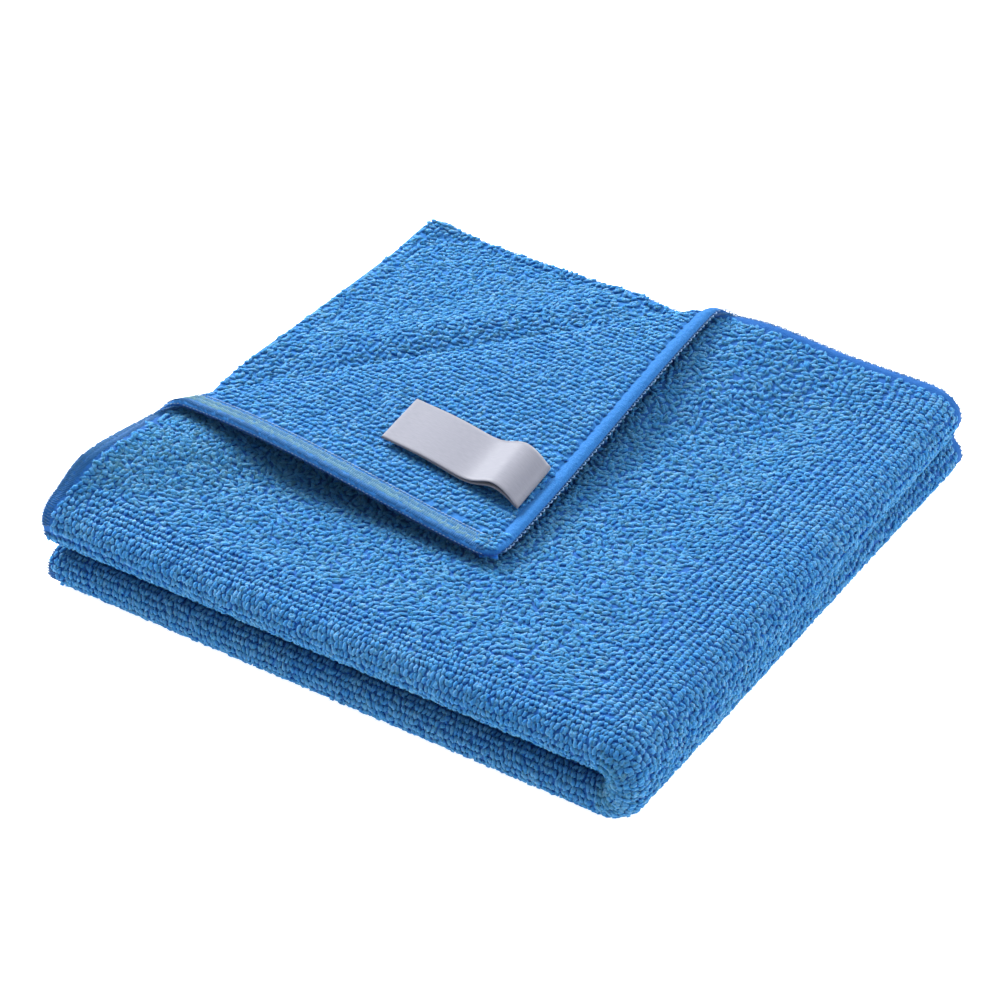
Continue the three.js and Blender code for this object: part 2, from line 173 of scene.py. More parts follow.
def roll_radius(share):
    return blend(ROLL_RADIUS, ROLL_RADIUS_AT_HEMS, at_hems(share))


def rounded_corners(across, along):
    """Pulls the sheet's four square corners in to a small radius."""
    u = np.clip((np.abs(across) - HALF_WIDTH + HEM_CORNER_RADIUS) / HEM_CORNER_RADIUS, 0, None)
    v = np.clip((np.abs(along) - HALF_LENGTH + HEM_CORNER_RADIUS) / HEM_CORNER_RADIUS, 0, None)
    pull_u = u * (1 - np.sqrt(1 - HEM_CORNER_SHARE * v * v / 2)) * HEM_CORNER_RADIUS
    pull_v = v * (1 - np.sqrt(1 - HEM_CORNER_SHARE * u * u / 2)) * HEM_CORNER_RADIUS
    return across - np.sign(across) * pull_u, along - np.sign(along) * pull_v


def quarter_folded(across, along):
    """The two folds, with no settling."""
    turn = np.clip(along / FIRST_FOLD_RADIUS, -QUARTER_TURN, QUARTER_TURN)
    outside = np.sin(turn)
    layer = FIRST_FOLD_RADIUS * outside
    bend = np.clip(across / SECOND_FOLD_RADIUS, -QUARTER_TURN, QUARTER_TURN)
    beyond_bend = np.maximum(np.abs(across) - SECOND_FOLD_ARC, 0)
    x = FLAT_X + (SECOND_FOLD_RADIUS + layer) * np.cos(bend) - beyond_bend
    y = FIRST_FOLD_RADIUS * (1 - np.cos(turn)) + np.maximum(np.abs(along) - FIRST_FOLD_ARC, 0)
    z = MID_HEIGHT - (SECOND_FOLD_RADIUS + layer) * np.sin(bend)
    return x, y, z, outside


def settled(x, y, z, outside, spring_share):
    """The pad's own unevenness: a sunk middle, sprung layers, a crease down the side, pulled corners."""
    inside = (ease(0, SUNK_MARGIN, x) * ease(0, SUNK_MARGIN, y)
              * ease(0, SUNK_MARGIN, FLAT_X + SUNK_PAST_FOLD - x)
              * ease(0, SUNK_MARGIN, FLAT_Y + SUNK_PAST_OPEN_END - y))
    height = HALF_SOLID + (z - HALF_SOLID) * (1 - SUNK_SHARE * inside)
    height = height + SPRING_LIFT * spring_share * ease(SPRING_FROM, SPRING_FULL, CREST.beyond(x, y))
    depth = blend(CREASE_AT_FOLD, CREASE_AT_OPEN_END, ease(CREASE_DEEPENS_FROM, FLAT_Y, y))
    dent = np.exp(-(((height - MID_HEIGHT) / CREASE_HALF_HEIGHT) ** 2))
    crease_share = blend(1, dent, (1 + outside) / 2) * ease(FLAT_X - CREASE_REACH, FLAT_X + CREASE_PAST, x)
    foot = ease(MID_HEIGHT, 0, height) * ease(FLAT_X - SPLAY_REACH, FLAT_X + SPLAY_PAST, x)
    rise = (RISE_LIFT * ease(FLAT_X - RISE_SIDE_REACH, FLAT_X, x) * ease(FLAT_Y - RISE_END_REACH, FLAT_Y, y)
            * ease(MID_HEIGHT, 2 * MID_HEIGHT - HALF_SOLID, height))
    pulled_x = x - depth * crease_share + SPLAY_OUT * foot * y / FLAT_Y
    pulled_y = y
    for side, end, pull_x, pull_y in CORNER_PULLS:
        share_x = x / PAD_X if side else 1 - x / PAD_X
        share_y = y / FLAT_Y if end else 1 - y / FLAT_Y
        pulled_x = pulled_x + pull_x * share_x * share_y
        pulled_y = pulled_y + pull_y * share_x * share_y
    return np.stack([pulled_x, pulled_y, height + rise], -1)


def reaching_rims(x, y):
    """How the second layer's rims reach out where the turned-back corner leaves them open."""
    side = (np.exp(-x / RIMS_REACH) * ease(RIMS_SIDE_FROM, RIMS_SIDE_FROM + RIMS_EASED, y)
            * ease(0, RIMS_EASED, FLAT_Y - y))
    end = (np.exp(-(FLAT_Y - y) / RIMS_REACH) * ease(RIMS_END_FROM, RIMS_END_FROM - RIMS_EASED, x)
           * ease(0, RIMS_EASED, x))
    return np.stack([-RIMS_SIDE * side, RIMS_END * end, RIMS_LIFT * (side + end)], -1)


def brim(x, y, beyond):
    """How far the two hems stand up beside the roll, fading out through the roll itself."""
    reach = blend(BRIM_REACH_WIDE, BRIM_REACH_NARROW, ease(BRIM_NARROWS, 0, -(beyond + ROLL_ARC)))
    side = SIDE_BRIM_LIFT * ease(SIDE_BRIM_FROM, SIDE_BRIM_FULL, y) * np.exp(-x / reach)
    end = (END_BRIM_LIFT * ease(END_BRIM_FROM, END_BRIM_FULL, x - CREST_FLAT_END)
           * np.exp(-(FLAT_Y - y) / reach))
    return (side + end) * (1 - ease(-ROLL_ARC - BRIM_FADE, 0, beyond))


def before_roll(x, y, rest, share, beyond):
    """The top layer before the roll: it leaves the pad and climbs under the crest, higher at both hems."""
    climb = 1 - ease(0, ROLL_APPROACH, -(beyond + ROLL_ARC))
    held = np.clip(share, ROLL_HELD_LOW, ROLL_HELD_HIGH)
    from_x, from_y = FLAT_CREST.point(held, -ROLL_ARC)
    to_x, to_y = CREST.point(held, 0)
    under_crest = crest_height(share) - 2 * roll_radius(share)
    return np.stack([
        rest[..., 0] + climb * (x + to_x - from_x - rest[..., 0]),
        rest[..., 1] + climb * (y + to_y - from_y - rest[..., 1]),
        rest[..., 2] + climb * (under_crest - rest[..., 2]) + brim(x, y, beyond),
    ], -1)


def on_roll(flat_x, flat_y, share, beyond):
    """The roll, a half turn about the crest that swings round towards the turned-back corner."""
    turned = (beyond + ROLL_ARC) / ROLL_ARC
    angle = turned * HALF_TURN - QUARTER_TURN
    flap = CORNER_FLAP / np.hypot(*CORNER_FLAP)
    heading_x = (1 - turned) * CREST.across[0] - turned * flap[0]
    heading_y = (1 - turned) * CREST.across[1] - turned * flap[1]
    radius = roll_radius(share)
    out = radius * np.cos(angle) / np.maximum(np.hypot(heading_x, heading_y), 1e-6)
    x, y = CREST.point(share, 0)
    z = crest_height(share) - radius + radius * np.sin(angle) + brim(flat_x, flat_y, beyond)
    return np.stack([x + out * heading_x, y + out * heading_y, z], -1)


def on_corner(x, share, beyond):
    """The turned-back corner, from the crest down to its tip, which lies on the pad."""
    reached = np.minimum(beyond / CORNER_BEYOND, CORNER_FURTHEST_REACH)
    start_x, start_y = CREST.point(share, 0)
    drop = (crest_height(share) - CORNER_TIP_HEIGHT) * (1 - ease(0, 1, reached))
    arch = ARCH_LIFT * np.exp(-x / ARCH_REACH) * np.sin(HALF_TURN * np.clip(reached, 0, 1))
    return np.stack([
        start_x + reached * CORNER_FLAP[0],
        start_y + reached * CORNER_FLAP[1],
        CORNER_TIP_HEIGHT + drop + arch,
    ], -1)


def corner_over(x, y):
    """What of the turned-back corner lies over a place: its share and reach, and where that is flat."""
    run = CREST.along[0] * CORNER_FLAP[1] - CREST.along[1] * CORNER_FLAP[0]
    off_x, off_y = x - CREST.start[0], y - CREST.start[1]
    share = (off_x * CORNER_FLAP[1] - off_y * CORNER_FLAP[0]) / run / CREST.length
    reached = (CREST.along[0] * off_y - CREST.along[1] * off_x) / run
    flat_x, flat_y = FLAT_CREST.point(share, reached * CORNER_BEYOND)
    return share, reached, flat_x, flat_y


def crease_lift(place, on_second_layer):
    """How far the soft ridges and troughs lift a place of the top layer or of the second one."""
    lift = np.zeros(len(place))
    for second, x, y, heading, half_length, half_width, height in CREASES:
        turn = math.radians(heading)
        off_x, off_y = place[:, 0] - x, place[:, 1] - y
        run = (off_x * math.cos(turn) + off_y * math.sin(turn)) / half_length
        side = (off_y * math.cos(turn) - off_x * math.sin(turn)) / half_width
        lift += np.where(on_second_layer == second, height * np.exp(-run ** 2 - side ** 2), 0)
    return lift


def folded(across, along):
    """Where points of the flat sheet lie in the folded cloth, at the middle of its thickness."""
    across, along = rounded_corners(across, along)
    x, y, z, outside = quarter_folded(across, along)
    outer, upper = along > 0, across < 0
    spring_share = np.where(outer, 0.0, np.where(upper, 1.0, SPRING_THIRD_LAYER))
    rest = settled(x, y, z, outside, spring_share)
    share, beyond = FLAT_CREST.share(x, y), FLAT_CREST.beyond(x, y)
    turned = outer & upper
    place = np.where((turned & (beyond > 0))[:, None], on_corner(x, share, beyond),
                     np.where((turned & (beyond > -ROLL_ARC))[:, None], on_roll(x, y, share, beyond),
                              np.where(turned[:, None], before_roll(x, y, rest, share, beyond), rest)))
    place = place + (upper & ~outer)[:, None] * reaching_rims(x, y)
    level = np.where(outer, turned * ease(-ROLL_ARC, -ROLL_ARC - CREASES_PAST_ROLL, beyond),
                     upper * ease(-CREASES_BEFORE_CREST, CREASES_PAST_CREST, CREST.beyond(x, y)))
    place[:, 2] += level * crease_lift(place, ~outer)
    curl = np.hypot(HALF_WIDTH + across, HALF_LENGTH + along) / CORNER_CURL_REACH
    place[:, 2] += np.where(upper & ~outer, CORNER_CURL_LIFT * np.exp(-curl ** 2), 0)
    return place


def framed(surface, u, v):
    """Places, unit normals and unit tangents of a surface given as a function of two lengths."""
    probe = 0.02
    along_u = surface(u + probe, v) - surface(u - probe, v)
    along_v = surface(u, v + probe) - surface(u, v - probe)
    normal = np.cross(along_u, along_v)
    return tuple([surface(u, v)] + [a / np.linalg.norm(a, axis=-1, keepdims=True)
                                    for a in (normal, along_u, along_v)])


def hem_distances(across, along):
    """How far a place is from the nearer side hem's rim, and from the nearer end hem's rim."""
    return HALF_WIDTH - np.abs(across), HALF_LENGTH - np.abs(along)


def half_ground(across, along):
    """Half the thickness of the ground: thin under the pile, fuller in the hems and round at the rim."""
    to_side, to_end = hem_distances(across, along)
    band = SIDE_HEM_THICKNESS / 2 * ease(SIDE_HEM_WIDTH + SIDE_HEM_EASE_OUT,
                                         SIDE_HEM_WIDTH - SIDE_HEM_EASE_IN, to_side)
    off_middle = to_end / (END_HEM_WIDTH / 2) - 1
    rolled = END_HEM_THICKNESS / 2 * np.sqrt(np.clip(1 - off_middle ** 2, 0, 1))
    groove = GROOVE_DEPTH * np.exp(-((to_end - END_HEM_WIDTH - GROOVE_OFF_HEM) / GROOVE_HALF_WIDTH) ** 2)
    full = np.maximum(np.maximum(band, rolled), GROUND_THICKNESS / 2 - groove)
    edge = np.clip(np.minimum(to_side, to_end) / HEM_RIM, 0, 1)
    return full * np.maximum(np.sqrt(1 - (1 - edge) ** 2), HEM_RIM_LEAST)


# ---- Meshes ----
def make_object(name, mesh):
    made = bpy.data.objects.new(name, mesh)
    bpy.context.scene.collection.objects.link(made)
    return made


def closed_sheet(name, surface, half, u_lines, v_lines, origin):
    """A closed shell, smooth shaded, on both sides of a surface, with the two lengths as its UV map."""
    rows, columns = len(u_lines), len(v_lines)
    u, v = (a.ravel() for a in np.meshgrid(u_lines, v_lines, indexing="ij"))
    place, normal, _, _ = framed(surface, u, v)
    offset = normal * half(u, v)[:, None]
    points = (np.concatenate([place + offset, place - offset]) + origin) * MM
    count = rows * columns
    grid = np.arange(count).reshape(rows, columns)
    a, b, c, d = grid[:-1, :-1], grid[1:, :-1], grid[1:, 1:], grid[:-1, 1:]
    upper = np.stack([a, b, c, d], -1).reshape(-1, 4)
    lower = np.stack([a, d, c, b], -1).reshape(-1, 4) + count
    rim = np.concatenate([grid[:, 0], grid[-1, 1:], grid[-2::-1, -1], grid[0, -2:0:-1]])
    following = np.roll(rim, -1)
    edge = np.stack([following, rim, rim + count, following + count], -1)
    faces = np.concatenate([upper, lower, edge])
    mesh = bpy.data.meshes.new(name)
    mesh.from_pydata(points.tolist(), [], faces.tolist(), shade_flat=False)
    uv_map = mesh.uv_layers.new(name="cloth_length")
    lengths = np.stack([u, v], -1) * MM
    # outer_face marks the outer face, which the ground's material darkens with painted shade.
    outer_face = mesh.attributes.new("outer_face", "FLOAT", "POINT")
    outer_face.data.foreach_set("value", np.repeat([1.0, 0.0], count))
    uv_map.data.foreach_set("uv", lengths[faces.ravel() % count].astype(np.float32).ravel())
    return make_object(name, mesh)


def spaced(start, end, step):
    """Evenly spaced values after start up to and including end, no further apart than about step."""
    count = max(1, round(abs(end - start) / step))
    return [start + (end - start) * (i + 1) / count for i in range(count)]


# The ground's grid lines: their distances from the rim in a hem, then their steps over the rest
CORNER_STEP, TOP_STEP, FOLD_STEP, LOWER_STEP = 1.9, 3.0, 0.85, 4.5
CLOSE_LINES_REACH = 40
HEM_LINES = (0, 0.12, 0.35, 0.7, 1.2, 1.8, 2.4, 2.9, 3.2, 3.5, 3.9, 4.4, 4.8, 5.1)


def ground_lines(half, fold_arc):
    """Grid lines from hem to hem: close at both hems, over the turned-back corner and in the fold."""
    inner = HEM_LINES[-1]
    return np.array(
        [d - half for d in HEM_LINES]
        + spaced(inner - half, -CLOSE_LINES_REACH, CORNER_STEP)
        + spaced(-CLOSE_LINES_REACH, -fold_arc, TOP_STEP)
        + spaced(-fold_arc, fold_arc, FOLD_STEP)
        + spaced(fold_arc, half - inner, LOWER_STEP)
        + [half - d for d in reversed(HEM_LINES[:-1])])


def build_ground(origin, material):
    across_lines = ground_lines(HALF_WIDTH, SECOND_FOLD_ARC)
    along_lines = -ground_lines(HALF_LENGTH, FIRST_FOLD_ARC)[::-1]
    ground = closed_sheet("cloth_ground", folded, half_ground, across_lines, along_lines, origin)
    ground.data.materials.append(material)
    return ground


# ---- Node trees ----
def linear(hex_code):
    """An sRGB hex colour as a linear RGBA tuple."""
    channels = [int(hex_code[i:i + 2], 16) / 255 for i in (1, 3, 5)]
    return tuple(c / 12.92 if c <= 0.04045 else ((c + 0.055) / 1.055) ** 2.4 for c in channels) + (1.0,)


def socket(sockets, name):
    """A socket by its identifier, or by its name where no identifier fits."""
    return next((s for s in sockets if s.identifier == name), None) or sockets[name]


def add_node(tree, kind, inputs=(), **settings):
    """Adds a node with its settings. inputs maps a socket to a value, or to a (node, output) link."""
    node = tree.nodes.new(kind)
    for name, value in settings.items():
        setattr(node, name, value)
    for name, value in dict(inputs).items():
        target = socket(node.inputs, name)
        if isinstance(value, tuple) and isinstance(value[0], bpy.types.Node):
            tree.links.new(socket(value[0].outputs, value[1]), target)
        else:
            target.default_value = value
    return node


def combined(tree, operation, a, b):
    inputs = {"Value": a, "Value_001": b}
    return add_node(tree, "ShaderNodeMath", inputs, operation=operation), "Value"


# Named inputs of the pile's tree, with their kinds. Lengths are in metres and angles in radians.
PILE_INPUTS = (
    ("Free loop length", "NodeSocketFloat"),
    ("Row loop length", "NodeSocketFloat"),
    ("Loop width", "NodeSocketFloat"),
    ("Loop height", "NodeSocketFloat"),
    ("Size spread", "NodeSocketFloat"),
    ("Heading spread", "NodeSocketFloat"),
    ("Lean", "NodeSocketFloat"),
    ("Seed", "NodeSocketInt"),
    ("Loop shapes", "NodeSocketCollection"),
    ("Yarn", "NodeSocketMaterial"),
)


def pile_tree():
    """Stands one loop on each point. A point carries its normal, its row's heading and its disorder."""
    tree = bpy.data.node_groups.new("loop_pile", "GeometryNodeTree")
    tree.interface.new_socket("Geometry", in_out="OUTPUT", socket_type="NodeSocketGeometry")
    tree.interface.new_socket("Points", in_out="INPUT", socket_type="NodeSocketGeometry")
    for name, kind in PILE_INPUTS:
        tree.interface.new_socket(name, in_out="INPUT", socket_type=kind)
    given = add_node(tree, "NodeGroupInput")
    fields = {}
    for name, kind in (("stand", "FLOAT_VECTOR"), ("row_heading", "FLOAT_VECTOR"), ("disorder", "FLOAT")):
        fields[name] = (add_node(tree, "GeometryNodeInputNamedAttribute", {"Name": name}, data_type=kind),
                        "Attribute")

    def drawn(low, high, offset, data_type="FLOAT"):
        """A random number for each point, from the group's seed moved on by offset."""
        seed = combined(tree, "ADD", (given, "Seed"), float(offset))
        suffix = {"FLOAT": "_001", "INT": "_002"}[data_type]
        made = add_node(tree, "FunctionNodeRandomValue",
                        {"Min" + suffix: low, "Max" + suffix: high, "Seed": seed},
                        data_type=data_type)
        return made, "Value" + suffix

    def product(a, b):
        return combined(tree, "MULTIPLY", a, b)

    upright = add_node(tree, "FunctionNodeAlignRotationToVector", {"Vector": fields["stand"]}, axis="Z")
    in_row = add_node(tree, "FunctionNodeAlignRotationToVector",
                      {"Rotation": (upright, "Rotation"), "Vector": fields["row_heading"]},
                      axis="X", pivot_axis="Z")
    swing = product(product(drawn(-1.0, 1.0, 1), (given, "Heading spread")), fields["disorder"])
    lean_x = product(drawn(-1.0, 1.0, 2), (given, "Lean"))
    lean_y = product(drawn(-1.0, 1.0, 3), (given, "Lean"))
    euler = add_node(tree, "ShaderNodeCombineXYZ", {"X": lean_x, "Y": lean_y, "Z": swing})
    local_turn = add_node(tree, "FunctionNodeEulerToRotation", {"Euler": (euler, "Vector")})
    rotation = add_node(tree, "FunctionNodeRotateRotation",
                        {"Rotation": (in_row, "Rotation"), "Rotate By": (local_turn, "Rotation")},
                        rotation_space="LOCAL")
    length = add_node(tree, "ShaderNodeMix", {
        "Factor_Float": fields["disorder"], "A_Float": (given, "Row loop length"),
        "B_Float": (given, "Free loop length")}, data_type="FLOAT")
    sizes = {}
    for offset, (axis, size) in enumerate((("X", (length, "Result_Float")), ("Y", (given, "Loop width")),
                                           ("Z", (given, "Loop height"))), start=4):
        spread = product(drawn(-1.0, 1.0, offset), (given, "Size spread"))
        sizes[axis] = product(size, combined(tree, "ADD", spread, 1.0))
    scale = add_node(tree, "ShaderNodeCombineXYZ", sizes)
    shapes = add_node(tree, "GeometryNodeCollectionInfo", {
        "Collection": (given, "Loop shapes"), "Separate Children": True, "Reset Children": True})
    placed = add_node(tree, "GeometryNodeInstanceOnPoints", {
        "Points": (given, "Points"), "Instance": (shapes, "Instances"), "Pick Instance": True,
        "Instance Index": drawn(0, LOOP_SHAPES - 1, 7, "INT"),
        "Rotation": (rotation, "Rotation"), "Scale": (scale, "Vector")})
    toned = add_node(tree, "GeometryNodeStoreNamedAttribute", {
        "Geometry": (placed, "Instances"), "Name": "yarn_shade", "Value": drawn(0.0, 1.0, 8)},
        data_type="FLOAT", domain="INSTANCE")
    real = add_node(tree, "GeometryNodeRealizeInstances", {"Geometry": (toned, "Geometry")})
    dressed = add_node(tree, "GeometryNodeSetMaterial", {
        "Geometry": (real, "Geometry"), "Material": (given, "Yarn")})
    add_node(tree, "NodeGroupOutput", {"Geometry": (dressed, "Geometry")})
    return tree


# ---- Loop shapes ----
LOOP_SHAPES = 6
# A unit loop: its arch and how square that is, how far its roots sink, and how much thinner they are
LOOP_ARCH, LOOP_SQUARENESS, LOOP_SUNK, LOOP_TAPER = 0.62, 2.6, 0.1, 0.35
CROWN_AT_GROUND = 0.15


def tube_shape(name, spine, radii, sides, crown):
    """A closed tube with pointed ends along a few points, with crown, 0 at a root to 1 at the top."""
    spine, radii = np.array(spine, float), np.array(radii, float)
    run = np.gradient(spine, axis=0)
    run /= np.linalg.norm(run, axis=1, keepdims=True)
    side = np.cross([0.0, 0.0, 1.0], run)
    side /= np.maximum(np.linalg.norm(side, axis=1, keepdims=True), 1e-9)
    up = np.cross(run, side)
    points, faces = [spine[0]], []
    for i in range(1, len(spine) - 1):
        for j in range(sides):
            angle = 2 * HALF_TURN * (j + 0.5) / sides
            points.append(spine[i] + radii[i] * (math.cos(angle) * side[i] + math.sin(angle) * up[i]))
    points.append(spine[-1])
    rings = len(spine) - 2
    last = len(points) - 1
    for j in range(sides):
        k = (j + 1) % sides
        faces.append((0, 1 + k, 1 + j))
        for i in range(rings - 1):
            a, b = 1 + i * sides, 1 + (i + 1) * sides
            faces.append((a + j, a + k, b + k, b + j))
        end = 1 + (rings - 1) * sides
        faces.append((end + j, end + k, last))
    mesh = bpy.data.meshes.new(name)
    mesh.from_pydata([list(p) for p in points], [], faces, shade_flat=False)
    height = mesh.attributes.new("crown", "FLOAT", "POINT")
    height.data.foreach_set("value", [float(crown(p)) for p in points])
    return bpy.data.objects.new(name, mesh)


def loop_shapes(name, rings, sides):
    """A collection of unit loops: each arches along X from root to root, and bows and sways in Y."""
    shapes = bpy.data.collections.new(name)
    for i in range(LOOP_SHAPES):
        bow = 0.5 * math.sin(2.4 * i + 0.4)
        sway = 0.3 * math.cos(1.7 * i)
        spine, radii = [], []
        for t in np.linspace(0, 1, rings + 2):
            off = 2 * t - 1
            spine.append((0.5 * off, bow * (0.5 - off * off) + sway * math.sin(HALF_TURN * off),
                          LOOP_ARCH * (1 - abs(off) ** LOOP_SQUARENESS) - LOOP_SUNK))
            radii.append(0.5 * (1 - LOOP_TAPER * off * off))
        made = tube_shape(f"{name}_{i}", spine, radii, sides,
                          lambda p: np.clip(CROWN_AT_GROUND + p[2], 0, 1))
        shapes.objects.link(made)
    return shapes


def points_object(name, places, attributes):
    mesh = bpy.data.meshes.new(name)
    mesh.from_pydata((places * MM).tolist(), [], [])
    for key, values in attributes.items():
        kind = "FLOAT_VECTOR" if values.ndim == 2 else "FLOAT"
        made = mesh.attributes.new(key, kind, "POINT")
        made.data.foreach_set("vector" if values.ndim == 2 else "value", values.astype(np.float32).ravel())
    return make_object(name, mesh)


def grow(name, tree, points, settings):
    """Runs a tree on a set of points and returns its result as a plain mesh object."""
    modifier = points.modifiers.new("grown", "NODES")
    modifier.node_group = tree
    for item in tree.interface.items_tree:
        if item.in_out == "INPUT" and item.name in settings:
            modifier[item.identifier] = settings[item.name]
    evaluated = points.evaluated_get(bpy.context.evaluated_depsgraph_get())
    mesh = bpy.data.meshes.new_from_object(evaluated)
    mesh.name = name
    points.modifiers.remove(modifier)
    bpy.data.objects.remove(points)
    return make_object(name, mesh)


# ---- Where the pile grows ----
ROW_ZONE_FIRST, ROW_ZONE_SECOND = 13.0, 20.0
WANDER_FIRST, WANDER_SECOND = 4, 5
# The first fold's rows reach further up the cloth away from the second fold
ROWS_AT_CORNER, ROWS_SLOPE = 6, 0.6
UNDER_FIRST_FOLD = 11.0
# How deep a loop's root sits in the ground, and how much the loops of a patch differ
LOOP_DEPTH, LOOP_SIZE_SPREAD, LOOP_LEAN = 0.25, 0.2, 0.22
# How far loops are shaken off the lattice, in steps: in even rows, and what full disorder adds
SHAKE_IN_ROW, SHAKE_OFF_ROW = (0.16, 0.26), (0.05, 0.37)
MOUTH_DEPTH, WEDGE_DEPTH, UNDER_CORNER_DEPTH = 26.0, 14.0, 12.0
# How much longer the cloth's face is than its middle on the outside of each fold
FIRST_STRETCH = (FIRST_FOLD_RADIUS + HALF_SOLID) / FIRST_FOLD_RADIUS
SECOND_STRETCH = (SECOND_FOLD_RADIUS + FIRST_FOLD_RADIUS + HALF_SOLID) / SECOND_FOLD_RADIUS
# The bare bands of the hems: both on the outer face, then the side's and the end's on the inner face
OUTER_BARE, SIDE_INNER_BARE, END_INNER_BARE = 3.1, 5.0, 3.6
CORNER_FUZZ_REACH, FUZZ_BARE = 7.0, 0.9


def wander(across, along):
    """A slow, even wander, -1 to 1, that keeps the borders between the pile's zones from being straight."""
    return (np.sin(across * 0.13 + along * 0.05) + np.sin(across * 0.047 - along * 0.19 + 1.3)) / 2


def off_hems(across, along, side):
    """True off the bare bands of the hems. The corners and the second layer are fuzzy nearly to the rim."""
    to_side, to_end = hem_distances(across, along)
    bare_side, bare_end = (OUTER_BARE, OUTER_BARE) if side > 0 else (SIDE_INNER_BARE, END_INNER_BARE)
    fuzzy = (np.maximum(to_side, to_end) < CORNER_FUZZ_REACH) | (along < 0)
    return (((to_side > bare_side) & (to_end > bare_end))
            | (fuzzy & (np.minimum(to_side, to_end) > FUZZ_BARE)))


def lattice(across_lines, along_lines, rows, disorder, random):
    """Points of a lattice, every other row shifted by half a step, shaken most where disorder is high.

    rows tells which way its rows run: "across" the sheet or "along" it.
    """
    across, along = np.meshgrid(across_lines, along_lines, indexing="ij")
    step_across = np.gradient(across_lines)[:, None] + 0 * along
    step_along = np.gradient(along_lines)[None, :] + 0 * along
    half_step = 0.5
    if rows == "across":
        across = across + (np.arange(len(along_lines)) % 2)[None, :] * step_across * half_step
    else:
        along = along + (np.arange(len(across_lines)) % 2)[:, None] * step_along * half_step
    unrest = disorder(across, along)
    in_row = SHAKE_IN_ROW[0] + SHAKE_IN_ROW[1] * unrest
    off_row = SHAKE_OFF_ROW[0] + SHAKE_OFF_ROW[1] * unrest
    shake_across, shake_along = (in_row, off_row) if rows == "across" else (off_row, in_row)
    across = across + random.uniform(-1, 1, across.shape) * shake_across * step_across
    along = along + random.uniform(-1, 1, along.shape) * shake_along * step_along
    return across.ravel(), along.ravel()


def fold_rows(start, end, pitch, stretch, arc):
    """Row lines an even pitch apart on the outside of a fold, where the face is stretched."""
    fine = np.linspace(start, end, 2001)
    outside = np.where(np.abs(fine) < arc, stretch, 1.0)
    reached = np.concatenate([[0], np.cumsum((outside[1:] + outside[:-1]) / 2 * np.diff(fine))])
    return np.interp(np.arange(0, reached[-1], pitch), reached, fine)


def pile_points(name, across, along, keep, side, heading_turn, disorder, origin):
    """The kept points on one face of the sheet, with what the pile's tree reads from them."""
    kept = keep(across, along) & off_hems(across, along, side)
    across, along = across[kept], along[kept]
    place, normal, along_u, along_v = framed(folded, across, along)
    ground = half_ground(across, along)[:, None]
    turn = np.radians(heading_turn(across, along))[:, None]
    return points_object(name, place + side * normal * (ground - LOOP_DEPTH) + origin, {
        "stand": side * normal,
        "row_heading": np.cos(turn) * along_u + np.sin(turn) * along_v,
        "disorder": disorder(across, along),
    })


def flat_place(across, along):
    x, y, _, _ = quarter_folded(across, along)
    return x, y


def zone_of(across, along):
    """0 in the rows of the first fold, 1 in the rows of the second fold, 2 elsewhere on the outer face."""
    wave = wander(across, along)
    off_fold = np.abs(across)
    near_first = along < ROW_ZONE_FIRST + WANDER_FIRST * wave
    first = near_first & (along < ROWS_AT_CORNER + ROWS_SLOPE * off_fold)
    second = off_fold < ROW_ZONE_SECOND + WANDER_SECOND * wave
    return np.where(first, 0, np.where(second, 1, 2))


def first_fold_disorder(across, along):
    return np.clip(0.06 + 0.6 * ease(FIRST_FOLD_ARC, ROW_ZONE_FIRST + 3, along), 0, 1)


def second_fold_disorder(across, along):
    """Even rows over the fold's two edges, rubbed loose down its side and merging into the free pile."""
    off_fold = np.abs(across)
    rubbed = 0.5 * (1 - ease(2.5, 6.5, off_fold))
    return np.clip(0.1 + rubbed + 0.5 * ease(SECOND_FOLD_ARC, ROW_ZONE_SECOND + 4, off_fold), 0, 1)


def free_disorder(across, along):
    near = np.minimum(along - ROW_ZONE_FIRST, np.abs(across) - ROW_ZONE_SECOND)
    return blend(0.6, 1.0, ease(-2, 12, near))


def under_corner(across, along):
    """True where the top layer lies deep under the turned-back corner, out of sight."""
    _, reached, flat_x, flat_y = corner_over(*flat_place(across, along))
    return (reached > 0) & (np.minimum(flat_x, FLAT_Y - flat_y) > MOUTH_DEPTH)


def top_layer(across, along):
    return (across < 0) & (FLAT_CREST.beyond(*flat_place(across, along)) < -ROLL_ARC)


def constant(value):
    return lambda across, along: np.full(across.shape, float(value))


class Patch(NamedTuple):
    """A part of one face of the sheet. Pitches and the loops' sizes are in millimetres."""
    across_pitch: float
    along_pitch: float
    free_length: float
    row_length: float
    width: float
    height: float
    side: int
    seed: int


PATCHES = {
    "pile_top_open_side": Patch(1.3, 1.3, 1.9, 1.65, 1.1, 0.84, 1, 11),
    "pile_top_fold_side": Patch(1.3, 1.3, 1.9, 1.65, 1.1, 0.84, 1, 12),
    "pile_first_fold": Patch(1.08, 1.72, 1.75, 1.46, 1.06, 1.0, 1, 13),
    "pile_second_fold": Patch(1.66, 1.12, 1.4, 1.34, 1.16, 0.95, 1, 14),
    "pile_underside": Patch(1.8, 1.8, 2.6, 2.2, 1.4, 0.8, 1, 15),
    "pile_turned_corner": Patch(1.3, 1.3, 1.5, 1.38, 1.16, 0.8, -1, 16),
    "pile_second_layer": Patch(1.34, 1.34, 1.9, 1.7, 1.12, 0.82, -1, 17),
    "pile_under_corner": Patch(1.5, 1.5, 2.1, 1.8, 1.1, 0.95, 1, 18),
}


